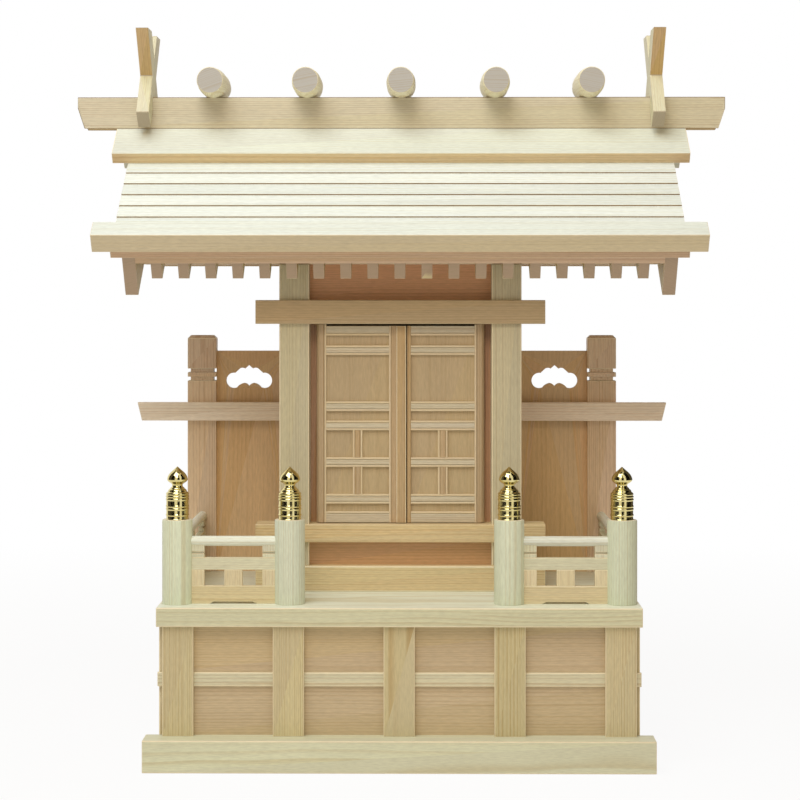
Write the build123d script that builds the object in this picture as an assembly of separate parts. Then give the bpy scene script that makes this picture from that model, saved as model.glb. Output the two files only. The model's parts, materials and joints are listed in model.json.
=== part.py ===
"""Household wooden shrine on a raised deck, with a gabled roof, two pivot doors and a brass-capped railing.

Millimetres, +Z up, front facing -Y. The origin is the middle of the footprint, at the plinth's underside.
"""
from build123d import *
import math
import os

# Plinth: the ring of square timber that lies on the shelf
plinth_side_ledge = 10.1
plinth_height = 24.5
plinth_timber = 24.0
plinth_ledge = 16.4

# Base box: boarded walls with flat posts outside and a tie let in behind them
base_height = 83.4
base_board = 6.0
base_post_width = 23.8
base_post_thick = 6.0
base_side_stand = 3.1
base_bay_count = 4
side_post_setback = 7.2
tie_height = 10.7
tie_rise = 37.2
tie_thick = 3.6
tie_in_post = 2.4
tie_nose = 0.8
side_tie_thick = 3.0

# Deck
deck_width = 368.4
deck_thick = 14.5
deck_overhang = 3.4
deck_side_overhang = 1.1
deck_depth = 237.0

# Railing: round posts with brass caps, pierced boards and round top rails
post_radius = 11.6
post_height = 64.7
post_setback = 24.5
inner_post_x = 84.2
outer_post_inset = 13.5
rail_radius = 3.65
rail_height = 48.6
rail_board_thick = 5.0
rail_board_rise = 46.6
rail_stile = 10.0
rail_strut = 13.9
rail_upper_low = 35.4
rail_lower_low = 13.8
rail_lower_gap = 12.3
rail_foot_arch = 1.7
rail_foot_margin = 4.1
rail_foot_slant = 3.0
rail_kerf = 1.4
rail_kerf_depth = 1.0
rail_kerf_rise = 39.2
side_rail_bays = 2

# Brass caps: collar, domed shoulder, neck, bulb and the tip it is drawn up to
cap_collar_radius = 8.9
cap_collar_height = 19.6
cap_shoulder_radius = 7.0
cap_shoulder_height = 2.7
cap_neck_radius = 4.1
cap_dome_height = 5.4
cap_neck_height = 1.6
cap_bulb_radius = 7.9
cap_bulb_low = 3.4
cap_bulb_high = 6.2
cap_brow_radius = 6.9
cap_tip_height = 13.8

# Sanctuary: four square columns with boarded walls
column = 24.0
column_inner_half = 73.0
column_setback = 93.0
sanctuary_ledge = 11.0
beam_half = 115.8
beam_stand = 3.7
ground_sill_height = 20.2
sill_rise = 39.3
sill_thick = 14.2
doorway_height = 160.3
head_thick = 19.0
frieze_height = 28.8
wall_thick = 6.0
wall_recess = 6.0
back_wall_recess = 9.0
floor_thick = 6.0
frieze_recess = 12.0
riser_recess = 8.0
infill_thick = 4.0

# Doors: framed leaves on turned pins, closing against rebated jambs
door_setback = 9.7
door_thick = 8.0
door_top_gap = 1.7
door_foot_gap = 0.6
door_foot_rail = 8.8
stile_top_gap = 0.5
door_side_gap = 5.4
rebate_gap = 1.0
rebate_thick = 3.0
rebate_reach = 4.0
door_outer_stile = 8.0
door_inner_stile = 5.8
door_narrow_stile = 3.1
door_rail = 7.7
door_top_bay = 8.0
door_upper_bay = 7.7
door_lattice_bay = 21.8
door_bottom_bay = 6.3
door_muntin = 7.8
door_panel_thick = 3.0
door_panel_recess = 2.4
cover_strip_width = 8.0
cover_strip_thick = 1.6
meeting_gap = 0.7
meeting_x = 5.0
pin_radius = 2.0
pin_length = 5.0
pin_clearance = 0.2
pin_end_clearance = 1.0

# Side screens beside the rear columns
screen_post_width = 24.4
screen_post_depth = 14.0
screen_post_back = 7.0
screen_post_rise = 202.5
screen_post_inset = 13.1
screen_post_chamfer = 2.6
screen_band_drop = 28.6
screen_band_height = 3.2
screen_band_pitch = 7.0
screen_band_depth = 2.4
screen_band_overcut = 1.0
screen_panel_rise = 189.1
screen_panel_thick = 5.0
screen_rail_rise = 129.7
screen_rail_height = 15.6
screen_rail_thick = 6.0
screen_rail_reach = 225.5
screen_rail_slant = 3.8
cloud_margin = 11.25
cloud_offset = 3.05
cloud_rise = 163.6
cloud_lobe_radius = 6.6
cloud_lobe_half = 13.1
cloud_peak = 13.2
cloud_notch = 10.2
cloud_notch_half = 3.4
cloud_shoulder_half = 8.0
cloud_shoulder_lift = 0.7
cloud_arch = 2.2
cloud_arch_half = 4.4
cloud_cusp = 4.9

# Roof
pitch = 36.0
roof_rise = 108.4
roof_half = 222.6
roof_board_thick = 11.0
course_count = 5
rear_course_count = 2
course_exposure = 16.0
course_step = 1.1
first_course = 59.0
last_exposure = 13.3
eave_bar_width = 18.4
eave_bar_stand = 5.0
eave_bar_half = 239.2
batten_half = 225.5
batten_thick = 7.0
batten_width = 22.0
batten_setback = 2.0
sheathing_thick = 6.0
sheathing_setback = 3.2
rafter_count = 19
rafter_pitch = 21.2
rafter_width = 8.4
rafter_depth = 15.3
rafter_setback = 4.2
rafter_ridge_gap = 0.6
barge_inner = 206.7
barge_thick = 10.2
barge_depth = 44.0
barge_setback = 3.7
purlin_width = 20.0
ridge_purlin_height = 28.0
cover_half = 235.3
cover_thick = 9.5
cover_run = 43.6
ridge_beam_width = 20.0
ridge_beam_height = 26.2
ridge_beam_half = 267.8
ridge_beam_square = 9.3
ridge_beam_slant = 5.6

# Ridge ornaments: five logs and two crossed finials
log_count = 5
log_pitch = 77.8
log_length = 76.0
log_end_radius = 10.7
log_belly_radius = 12.0
log_belly_length = 30.0
log_seat = 11.4
fork_x = 210.7
fork_thick = 10.2
fork_width = 18.7
fork_angle = 52.0
fork_cross_rise = 17.8
fork_top_rise = 54.0
fork_foot_drop = 14.4

arris = 0.5

# Heights
deck_low = plinth_height + base_height
deck_top = deck_low + deck_thick
sill_top = deck_top + sill_rise + sill_thick
head_low = sill_top + doorway_height
head_top = head_low + head_thick
column_top = head_top + frieze_height
roof_apex = column_top + roof_rise

# Depths, counted back from the front of the plinth
base_front = plinth_ledge
deck_front = base_front - deck_overhang
deck_back = deck_front + deck_depth
base_back = deck_back - deck_overhang
plinth_depth = base_back + plinth_ledge
post_depth = deck_front + post_setback
column_front = deck_front + column_setback
column_rear = deck_back - sanctuary_ledge
beam_front = column_front - beam_stand
beam_back = column_front + column
door_front = beam_front + door_setback
pivot_depth = door_front + door_thick / 2
ridge_depth = (column_front + column_rear) / 2
screen_post_front = column_rear - column + screen_post_back
slope = math.radians(pitch)
eave_run = first_course + (course_count - 1) * course_exposure + last_exposure
rear_eave_run = first_course + (rear_course_count - 1) * course_exposure + last_exposure
eave_end = eave_run + eave_bar_width
rear_eave_end = rear_eave_run + eave_bar_width
eave_rise = eave_bar_stand * math.sin(slope)
roof_front = ridge_depth - eave_end * math.cos(slope) - eave_rise
roof_back = ridge_depth + rear_eave_end * math.cos(slope) + eave_rise
middle = (max(roof_back, plinth_depth) + min(roof_front, 0)) / 2

# Widths
deck_half = deck_width / 2
base_side_face = deck_half - deck_side_overhang
base_front_half = base_side_face - base_side_stand
plinth_half = base_side_face + plinth_side_ledge
outer_post_x = deck_half - outer_post_inset
screen_post_x = deck_half - screen_post_inset
panel_half = base_side_face - base_post_thick
column_outer_half = column_inner_half + column
wall_outer_half = column_outer_half - wall_recess
wall_inner_half = wall_outer_half - wall_thick
leaf_outer = column_inner_half - door_side_gap
pivot_x = leaf_outer - door_thick / 2
left_leaf_inner = meeting_x - meeting_gap / 2
right_leaf_inner = meeting_x + meeting_gap / 2


def y_at(depth):
    """Y of a plane that lies a given distance behind the front of the plinth."""
    return depth - middle


def block(x_span, depth_span, z_span):
    """Plain block between two values on each axis, its depths counted from the plinth's front."""
    x0, x1 = x_span
    d0, d1 = depth_span
    z0, z1 = z_span
    centre = Pos((x0 + x1) / 2, y_at((d0 + d1) / 2), (z0 + z1) / 2)
    return centre * Box(x1 - x0, d1 - d0, z1 - z0)


def planed(x_span, depth_span, z_span, grain=Axis.X):
    """Block whose long edges along the grain carry the small arris of hand-planed timber."""
    timber = block(x_span, depth_span, z_span)
    return chamfer(timber.edges().filter_by(grain), arris)


def both_sides(solid):
    """A solid of the right-hand side and its mirror image on the left."""
    return [solid, mirror(solid, Plane.YZ)]


def upright(x, depth, radius, z_span):
    """Round upright at a place given by its distance from the middle and from the plinth's front."""
    z0, z1 = z_span
    return Pos(x, y_at(depth), (z0 + z1) / 2) * Cylinder(radius, z1 - z0)


def cut(solid, tools):
    """A solid less each of the tools."""
    for tool in tools:
        solid = solid - tool
    return solid


def save(name, solids):
    """Write one node, made of one solid or of several that don't touch."""
    pieces = []
    for item in solids:
        pieces.extend(item.solids())
    shape = pieces[0] if len(pieces) == 1 else Compound(children=pieces)
    export_step(shape, "parts/" + name + ".step")


def plinth():
    """Front and back beams with the side timbers between them."""
    rise = (0, plinth_height)
    wide = (-plinth_half, plinth_half)
    front = planed(wide, (0, plinth_timber), rise)
    back = planed(wide, (plinth_depth - plinth_timber, plinth_depth), rise)
    side = planed(
        (base_side_face - plinth_timber, base_side_face),
        (plinth_timber, plinth_depth - plinth_timber),
        rise,
        Axis.Y,
    )
    save("plinth_beams", [front, back])
    save("plinth_sides", both_sides(side))


def base_box():
    """Boarded box on the plinth: panels, flat posts, and ties let in behind the posts."""
    rise = (plinth_height, deck_low)
    tie_z = (plinth_height + tie_rise, plinth_height + tie_rise + tie_height)
    post_back = base_front + base_post_thick
    tie_front = post_back - tie_in_post
    tie_back = tie_front + tie_thick
    nose = base_side_face + tie_nose
    front_tie = planed((-nose, nose), (tie_front, tie_back), tie_z)

    bay = (2 * base_front_half - base_post_width) / base_bay_count
    posts = []
    for index in range(base_bay_count + 1):
        low = -base_front_half + index * bay
        strip = planed((low, low + base_post_width), (base_front, post_back), rise, Axis.Z)
        posts.append(strip - front_tie)

    side_first = base_front + side_post_setback
    side_last = base_back - base_post_width
    side_places = [side_first, (side_first + side_last) / 2, side_last]
    side_ties = []
    for depth in side_places:
        strip = planed((panel_half, base_side_face), (depth, depth + base_post_width), rise, Axis.Z)
        posts.extend(both_sides(strip))
    for near, far in zip(side_places, side_places[1:]):
        bar = planed(
            (panel_half, panel_half + side_tie_thick), (near + base_post_width, far), tie_z, Axis.Y
        )
        side_ties.extend(both_sides(bar))

    board_back = post_back + base_board
    front = block((-panel_half, panel_half), (post_back, board_back), rise) - front_tie
    back = block((-panel_half, panel_half), (base_back - base_board, base_back), rise)
    side = block((panel_half - base_board, panel_half), (board_back, base_back - base_board), rise)
    save("base_front_panel", [front])
    save("base_back_panel", [back])
    save("base_side_panels", both_sides(side))
    save("base_posts", posts)
    save("base_ties", [front_tie] + side_ties)


def deck():
    """The deck board that carries everything above the base."""
    save("deck_board", [planed((-deck_half, deck_half), (deck_front, deck_back), (deck_low, deck_top))])


def round_posts():
    """The right-hand pair of railing posts."""
    top = deck_top + post_height
    return [upright(x, post_depth, post_radius, (deck_top, top)) for x in (inner_post_x, outer_post_x)]


def brass_cap(x):
    """One onion-shaped cap, turned from a single outline."""
    neck_low = cap_collar_height + cap_dome_height
    neck_high = neck_low + cap_neck_height
    outline = Polygon(
        (0, 0),
        (cap_collar_radius, 0),
        (cap_collar_radius, cap_collar_height),
        (cap_shoulder_radius, cap_collar_height + cap_shoulder_height),
        (cap_neck_radius, neck_low),
        (cap_neck_radius, neck_high),
        (cap_bulb_radius, neck_high + cap_bulb_low),
        (cap_brow_radius, neck_high + cap_bulb_high),
        (0, neck_high + cap_tip_height),
        align=None,
    )
    cap = revolve(Plane.XZ * outline, Axis.Z)
    return Pos(x, y_at(post_depth), deck_top + post_height) * cap


def rail_board(length, bays, lead, tail):
    """Pierced board on z = 0: its bays span x from 0 to length, and its ends run on by lead and tail."""
    clear = (length - rail_stile * (bays + 1)) / bays
    whole = length + lead + tail
    through = 2 * rail_board_thick
    centre_x = whole / 2 - lead
    board = Pos(centre_x, 0, rail_board_rise / 2) * Box(whole, rail_board_thick, rail_board_rise)
    for face in (-1, 1):
        kerf = Box(whole, 2 * rail_kerf_depth, rail_kerf)
        board -= Pos(centre_x, face * rail_board_thick / 2, rail_kerf_rise) * kerf
    for index in range(bays):
        low = rail_stile + index * (clear + rail_stile)
        upper = rail_board_rise - rail_upper_low
        board -= Pos(low + clear / 2, 0, rail_upper_low + upper / 2) * Box(clear, through, upper)
        small = (clear - rail_strut) / 2
        for side in (low + small / 2, low + clear - small / 2):
            window = Box(small, through, rail_lower_gap)
            board -= Pos(side, 0, rail_lower_low + rail_lower_gap / 2) * window
        foot_low = low + rail_foot_margin
        foot_high = low + clear - rail_foot_margin
        foot = Polygon(
            (foot_low, 0),
            (foot_high, 0),
            (foot_high - rail_foot_slant, rail_foot_arch),
            (foot_low + rail_foot_slant, rail_foot_arch),
            align=None,
        )
        board -= extrude(Plane.XZ * foot, amount=rail_board_thick, both=True)
    return board


def railing():
    """Posts, caps, pierced boards and round top rails, each let into the posts."""
    posts = round_posts()
    rail_z = deck_top + rail_height
    front_span = outer_post_x - inner_post_x
    front_rail = Rot(0, 90, 0) * Cylinder(rail_radius, front_span)
    front_rail = Pos(inner_post_x + front_span / 2, y_at(post_depth), rail_z) * front_rail
    side_span = screen_post_front - post_depth
    side_rail = Rot(90, 0, 0) * Cylinder(rail_radius, side_span)
    side_rail = Pos(outer_post_x, y_at(post_depth + side_span / 2), rail_z) * side_rail

    front_place = Pos(inner_post_x + post_radius, y_at(post_depth), deck_top)
    front_board = rail_board(front_span - 2 * post_radius, 1, post_radius, post_radius)
    front_board = cut(front_place * front_board, posts + [front_rail])
    side_place = Pos(outer_post_x, y_at(post_depth + post_radius), deck_top) * Rot(0, 0, 90)
    side_board = rail_board(side_span - post_radius, side_rail_bays, post_radius, 0)
    side_board = cut(side_place * side_board, posts + [side_rail])

    caps = [brass_cap(x) for x in (inner_post_x, outer_post_x)]
    save("railing_posts", posts + [mirror(post, Plane.YZ) for post in posts])
    save("post_caps", caps + [mirror(cap, Plane.YZ) for cap in caps])
    save("front_rail_boards", both_sides(front_board))
    save("side_rail_boards", both_sides(side_board))
    save("top_rails", both_sides(cut(front_rail, posts)) + both_sides(cut(side_rail, posts)))


def column_solids():
    """The right-hand front and rear columns: the front one stands on the ground sill."""
    span = (column_inner_half, column_outer_half)
    front = planed(
        span, (column_front, column_front + column), (deck_top + ground_sill_height, column_top), Axis.Z
    )
    rear = planed(span, (column_rear - column, column_rear), (deck_top, column_top), Axis.Z)
    return front, rear


def chamber_timbers():
    """Columns, the ground sill they stand on, and the two beams that hold the doors' pins."""
    front_column, rear_column = column_solids()
    columns = both_sides(front_column) + both_sides(rear_column)
    beam_x = (-beam_half, beam_half)
    beam_depth = (beam_front, beam_back)
    socket = pin_length + pin_end_clearance
    bore = pin_radius + pin_clearance
    low_socket = upright(pivot_x, pivot_depth, bore, (sill_top - socket, sill_top))
    high_socket = upright(pivot_x, pivot_depth, bore, (head_low, head_low + socket))
    sill = planed(beam_x, beam_depth, (sill_top - sill_thick, sill_top))
    head = planed(beam_x, beam_depth, (head_low, head_top))
    ground = planed(beam_x, beam_depth, (deck_top, deck_top + ground_sill_height))
    save("columns", columns)
    save("ground_sill", [ground])
    save("sill_beam", [cut(sill, columns[:2] + both_sides(low_socket))])
    save("head_beam", [cut(head, columns[:2] + both_sides(high_socket))])


def infill_and_jambs():
    """Boards under the sill beam and over the head beam, and the jambs behind the doors' outer stiles."""
    inner = (-column_inner_half, column_inner_half)
    riser_front = column_front + riser_recess
    riser_z = (deck_top + ground_sill_height, sill_top - sill_thick)
    riser = block(inner, (riser_front, riser_front + infill_thick), riser_z)
    frieze_front = column_front + frieze_recess
    frieze = block(inner, (frieze_front, frieze_front + infill_thick), (head_top, column_top))
    save("infill_panels", [riser, frieze])

    rebate_front = door_front + door_thick + rebate_gap
    rebate_x = (leaf_outer - rebate_reach, column_inner_half)
    jamb = block(rebate_x, (rebate_front, rebate_front + rebate_thick), (sill_top, head_low))
    save("door_jambs", both_sides(jamb))


def chamber_walls():
    """Back wall and floor between the columns, and side walls that rise to the rafters."""
    rear_column = column_solids()[1]
    back_front = column_rear - column + back_wall_recess
    back_depth = (back_front, back_front + wall_thick)
    back = block((-column_inner_half, column_inner_half), back_depth, (deck_top, column_top))
    floor_z = (sill_top - floor_thick, sill_top)
    floor = block((-wall_inner_half, wall_inner_half), (beam_back, back_front), floor_z)
    side_depth = (column_front + column, column_rear - column)
    side = wall_outline() & block((wall_inner_half, wall_outer_half), side_depth, (deck_top, roof_apex))
    save("back_wall", [back])
    save("sanctuary_floor", [cut(floor, both_sides(rear_column))])
    save("side_walls", both_sides(cut(side, purlin_solids())))


def slope_point(run, drop, back=1):
    """Y and Z of a point that lies run down the slope from the ridge and drop below the board tops."""
    out = run * math.cos(slope) - drop * math.sin(slope)
    rise = roof_apex - run * math.sin(slope) - drop * math.cos(slope)
    return (y_at(ridge_depth) - back * out, rise)


def across(outline, x_span):
    """Solid whose outline in Y and Z is a list of points, spanning two values of X."""
    x0, x1 = x_span
    face = Polygon(*outline, align=None)
    return Pos(x0, 0, 0) * extrude(Plane.YZ * face, amount=x1 - x0, dir=(1, 0, 0))


def slope_layer(top, bottom, end, x_span, start=None):
    """Front half of a layer of the roof, from the ridge or from start down the slope to its end."""
    near_top = top * math.tan(slope) if start is None else start
    near_bottom = bottom * math.tan(slope) if start is None else start
    outline = [
        slope_point(near_top, top),
        slope_point(end, top),
        slope_point(end, bottom),
        slope_point(near_bottom, bottom),
    ]
    return across(outline, x_span)


def behind(solid):
    """The same solid on the rear slope."""
    return mirror(solid, Plane.XZ.offset(-y_at(ridge_depth)))


def rafter_low():
    """Depth of the rafters' undersides below the board tops."""
    return batten_low() + sheathing_thick + rafter_depth


def batten_low():
    """Depth of the eave battens' undersides below the board tops."""
    return roof_board_thick + batten_thick


def wall_outline():
    """Everything under the rafters, as a cutter for walls and purlins that stop there."""
    low = rafter_low()
    foot = slope_point(eave_end, low)
    foot_back = slope_point(eave_end, low, -1)
    apex = slope_point(low * math.tan(slope), low)
    outline = [foot, apex, foot_back, (foot_back[0], 0), (foot[0], 0)]
    return across(outline, (-barge_inner, barge_inner))


def purlin_solids():
    """Eave purlins over the columns and the ridge purlin, bevelled to the slopes they carry."""
    x_span = (-barge_inner, barge_inner)
    envelope = wall_outline()
    purlins = []
    for centre in (column_front + column / 2, column_rear - column / 2):
        span = (centre - purlin_width / 2, centre + purlin_width / 2)
        purlins.append(envelope & block(x_span, span, (column_top, roof_apex)))
    ridge_low = slope_point(rafter_low() * math.tan(slope), rafter_low())[1] - ridge_purlin_height
    span = (ridge_depth - purlin_width / 2, ridge_depth + purlin_width / 2)
    purlins.append(envelope & block(x_span, span, (ridge_low, roof_apex)))
    return purlins


def roof_boards(courses, run):
    """Front slope of lapped boards: each course rises to a butt that stands over the next."""
    outline = [slope_point(0, 0)]
    for index in range(courses):
        butt = first_course + index * course_exposure
        outline.append(slope_point(max(butt - course_exposure, cover_run), 0))
        outline.append(slope_point(butt, -course_step))
        outline.append(slope_point(butt, 0))
    outline.append(slope_point(run, 0))
    outline.append(slope_point(run, roof_board_thick))
    outline.append(slope_point(roof_board_thick * math.tan(slope), roof_board_thick))
    return across(outline, (-roof_half, roof_half))


def slope_parts(courses, run):
    """Solids of a front slope, from its lapped boards down to its rafters.

    The slope has that many courses, and its boards run from the ridge to the eave bar.
    """
    end = run + eave_bar_width
    bar = slope_layer(-eave_bar_stand, roof_board_thick, end, (-eave_bar_half, eave_bar_half), run)
    batten_end = end - batten_setback
    batten_x = (-batten_half, batten_half)
    batten = slope_layer(
        roof_board_thick, batten_low(), batten_end, batten_x, batten_end - batten_width
    )
    sheathing_low = batten_low() + sheathing_thick
    sheathing = slope_layer(
        roof_board_thick, sheathing_low, end - sheathing_setback, (-barge_inner, barge_inner)
    )

    rafter_x = rafter_width / 2
    start = rafter_low() * math.tan(slope) + rafter_ridge_gap
    rafter = slope_layer(
        sheathing_low, rafter_low(), end - rafter_setback, (-rafter_x, rafter_x), start
    )
    rafters = []
    for index in range(rafter_count):
        place = (index - (rafter_count - 1) / 2) * rafter_pitch
        rafters.append(Pos(place, 0, 0) * rafter)

    barge_x = (barge_inner, barge_inner + barge_thick)
    barge = slope_layer(
        roof_board_thick, roof_board_thick + barge_depth, end - barge_setback, barge_x
    )
    return {
        "roof_boards": [roof_boards(courses, run)],
        "eave_bars": [bar],
        "eave_battens": [batten],
        "roof_sheathing": [sheathing - batten],
        "rafters": rafters,
        "barge_boards": both_sides(barge - batten),
    }


def roof():
    """The long front slope, the short rear one, and the purlins under both."""
    front = slope_parts(course_count, eave_run)
    rear = {}
    for name, solids in slope_parts(rear_course_count, rear_eave_run).items():
        rear[name] = [behind(solid) for solid in solids]
    for name in ("roof_boards", "roof_sheathing", "barge_boards"):
        save(name + "_front", front[name])
        save(name + "_back", rear[name])
    for name in ("eave_bars", "eave_battens", "rafters"):
        save(name, front[name] + rear[name])
    save("purlins", purlin_solids())


def ridge():
    """Cover boards astride the ridge, the slant-ended ridge beam, five logs and two forked finials."""
    cover = slope_layer(-cover_thick, 0, cover_run, (-cover_half, cover_half))
    save("ridge_covers_front", [cover])
    save("ridge_covers_back", [behind(cover)])

    centre = y_at(ridge_depth)
    half = ridge_beam_width / 2
    apex = slope_point(-cover_thick * math.tan(slope), -cover_thick)[1]
    shoulder = apex - half * math.tan(slope)
    beam_top = shoulder + ridge_beam_height
    outline = [
        (centre - half, shoulder),
        (centre, apex),
        (centre + half, shoulder),
        (centre + half, beam_top),
        (centre - half, beam_top),
    ]
    low_half = ridge_beam_half - ridge_beam_slant
    square_low = beam_top - ridge_beam_square
    side = Polygon(
        (-low_half, shoulder),
        (low_half, shoulder),
        (ridge_beam_half, square_low),
        (ridge_beam_half, beam_top),
        (-ridge_beam_half, beam_top),
        (-ridge_beam_half, square_low),
        align=None,
    )
    slanted = Pos(0, centre, 0) * extrude(Plane.XZ * side, amount=ridge_beam_width, both=True)
    beam = across(outline, (-ridge_beam_half, ridge_beam_half)) & slanted
    save("ridge_beam", [beam])

    logs = []
    for index in range(log_count):
        x = (index - (log_count - 1) / 2) * log_pitch
        logs.append(Pos(x, centre, beam_top + log_seat) * ridge_log() - beam)
    save("ridge_logs", logs)
    save("forked_finials", both_sides(forked_finial(beam_top) - beam))


def ridge_log():
    """Log that lies across the ridge: a straight belly that tapers to smaller ends."""
    half = log_length / 2
    belly = log_belly_length / 2
    outline = Polygon(
        (0, -half),
        (log_end_radius, -half),
        (log_belly_radius, -belly),
        (log_belly_radius, belly),
        (log_end_radius, half),
        (0, half),
        align=None,
    )
    return revolve(outline, Axis.Y)


def forked_finial(beam_top):
    """Two arms halved together in an X: level tops, square feet, astride the ridge beam."""
    lean = math.radians(fork_angle)
    cross = beam_top + fork_cross_rise
    centre = y_at(ridge_depth)
    half = fork_width / 2
    front = (-math.cos(lean), math.sin(lean))
    up = (math.sin(lean), math.cos(lean))
    foot_corner = cross - beam_top + fork_foot_drop
    low = (foot_corner + half * up[1]) / math.sin(lean)
    top = beam_top + fork_top_rise
    high = 2 * fork_top_rise

    def corner(along, side):
        y = centre + along * front[0] + side * up[0]
        z = cross + along * front[1] + side * up[1]
        return (y, z)

    arm_outline = [corner(-low, -half), corner(high, -half), corner(high, half), corner(-low, half)]
    x_span = (fork_x - fork_thick / 2, fork_x + fork_thick / 2)
    arm = across(arm_outline, x_span)
    pair = arm + behind(arm)
    reach = 2 * fork_top_rise
    return pair - Pos(fork_x, centre, top + reach) * Box(2 * fork_thick, 4 * reach, 2 * reach)


def screens():
    """Side screens: banded posts, boards with a cloud-shaped opening and slant-ended rails."""
    inner = screen_post_x - screen_post_width / 2
    outer = screen_post_x + screen_post_width / 2
    back = screen_post_front + screen_post_depth
    top = deck_top + screen_post_rise
    post = block((inner, outer), (screen_post_front, back), (deck_top, top))
    crown = post.faces().sort_by(Axis.Z)[-1].edges()
    post = chamfer(crown, screen_post_chamfer)
    for index in range(2):
        high = top - screen_band_drop - index * screen_band_pitch
        band = (high - screen_band_height, high)
        waist = block(
            (inner + screen_band_depth, outer - screen_band_depth),
            (screen_post_front + screen_band_depth / 2, back - screen_band_depth / 2),
            band,
        )
        collar = block(
            (inner - screen_band_overcut, outer + screen_band_overcut),
            (screen_post_front - screen_band_overcut, back + screen_band_overcut),
            band,
        )
        post = post - (collar - waist)
    save("screen_posts", both_sides(post))

    middle_depth = screen_post_front + screen_post_depth / 2
    half = screen_panel_thick / 2
    panel_z = (deck_top, deck_top + screen_panel_rise)
    panel = block((column_outer_half, inner), (middle_depth - half, middle_depth + half), panel_z)
    cloud_half = (inner - column_outer_half) / 2 - cloud_margin
    cloud_x = (inner + column_outer_half) / 2 + cloud_offset
    place = Pos(cloud_x, y_at(middle_depth), deck_top + cloud_rise)
    cloud = scale(cloud_outline(), by=cloud_half / (cloud_lobe_half + cloud_lobe_radius))
    opening = place * extrude(Plane.XZ * cloud, amount=screen_panel_thick, both=True)
    save("screen_panels", both_sides(panel - opening))

    rail_top = deck_top + screen_rail_rise + screen_rail_height
    rail_low = deck_top + screen_rail_rise
    outline = Polygon(
        (column_outer_half, rail_low),
        (screen_rail_reach - screen_rail_slant, rail_low),
        (screen_rail_reach, rail_top),
        (column_outer_half, rail_top),
        align=None,
    )
    rail = Pos(0, y_at(screen_post_front), 0) * extrude(
        Plane.XZ * outline, amount=screen_rail_thick, dir=(0, -1, 0)
    )
    save("screen_rails", both_sides(rail))


def cloud_outline():
    """Pierced cloud: a peak over stepped shoulders, two round lobes and a cusp between shallow arches."""
    lobe_low = (cloud_lobe_half - 0.4 * cloud_lobe_radius, -0.917 * cloud_lobe_radius)
    lobe_high = (cloud_lobe_half - 0.17 * cloud_lobe_radius, 0.985 * cloud_lobe_radius)
    shoulder = (cloud_shoulder_half, cloud_notch)
    notch = (cloud_notch_half, cloud_notch)
    arch = (cloud_arch_half, -cloud_arch)
    with BuildSketch() as sketch:
        with BuildLine() as line:
            Line((0, cloud_peak), notch)
            ThreePointArc(
                notch,
                ((notch[0] + shoulder[0]) / 2, cloud_notch + cloud_shoulder_lift),
                shoulder,
            )
            Line(shoulder, lobe_high)
            ThreePointArc(lobe_high, (cloud_lobe_half + cloud_lobe_radius, 0), lobe_low)
            ThreePointArc(
                lobe_low,
                ((lobe_low[0] + arch[0]) / 2, (lobe_low[1] + arch[1]) / 2 + 0.8),
                arch,
            )
            ThreePointArc(arch, (0.42 * arch[0], -1.35 * cloud_arch), (0, -cloud_cusp))
            mirror(line.line, Plane.YZ)
        make_face()
    return sketch.sketch


def door_leaf(side, inner, inner_stile, name):
    """One leaf, hung at side (-1 left, 1 right): its frame on turned pins, its panel and its heights.

    The pivot stile is rounded about the pins, and the leaf reaches to the value of X called inner.
    """
    pivot = side * pivot_x
    low = sill_top + door_foot_gap
    high = head_low - door_top_gap
    back = door_front + door_thick
    stile_top = head_low - stile_top_gap
    stile_edge = side * (leaf_outer - door_outer_stile)
    pane = sorted((stile_edge, inner + side * inner_stile))

    rails = door_foot_rail + 6 * door_rail
    fixed = rails + door_top_bay + 2 * door_upper_bay + 2 * door_lattice_bay + door_bottom_bay
    tall_bay = high - low - fixed + door_upper_bay
    bays = [door_bottom_bay, door_lattice_bay, door_lattice_bay, door_upper_bay, tall_bay, door_top_bay]

    frame = block(sorted((pivot, inner)), (door_front, back), (low, high))
    frame += block(sorted((pivot, stile_edge)), (door_front, back), (high, stile_top))
    frame += upright(pivot, pivot_depth, door_thick / 2, (low, stile_top))
    frame += upright(pivot, pivot_depth, pin_radius, (sill_top - pin_length, head_low + pin_length))
    bay_low = low + door_foot_rail
    for index, bay in enumerate(bays):
        frame -= block(pane, (door_front, back), (bay_low, bay_low + bay))
        if index in (1, 2):
            middle_x = (pane[0] + pane[1]) / 2
            muntin = (middle_x - door_muntin / 2, middle_x + door_muntin / 2)
            frame += block(muntin, (door_front, back), (bay_low, bay_low + bay))
        bay_low += bay + door_rail

    panel_front = door_front + door_panel_recess
    panel_z = (low + door_foot_rail, high - door_rail)
    panel = block(pane, (panel_front, panel_front + door_panel_thick), panel_z)
    save(name + "_frame", [frame - panel])
    save(name + "_panel", [panel])


def doors():
    """Both leaves, shut. The left one carries the strip that covers the meeting stiles."""
    left_stile = door_inner_stile + cover_strip_width
    door_leaf(-1, left_leaf_inner, left_stile, "door_left")
    door_leaf(1, right_leaf_inner, door_narrow_stile, "door_right")
    strip_x = (left_leaf_inner - cover_strip_width, left_leaf_inner)
    strip_z = (sill_top + door_foot_gap, head_low - door_top_gap)
    strip_depth = (door_front - cover_strip_thick, door_front)
    save("door_left_cover_strip", [planed(strip_x, strip_depth, strip_z, Axis.Z)])


os.makedirs("parts", exist_ok=True)
plinth()
base_box()
deck()
railing()
chamber_timbers()
infill_and_jambs()
chamber_walls()
doors()
screens()
roof()
ridge()
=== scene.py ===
import json
import logging
import math
from dataclasses import dataclass, field, replace
from enum import Enum
from typing import Any, Callable, Iterable, Sequence

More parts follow.
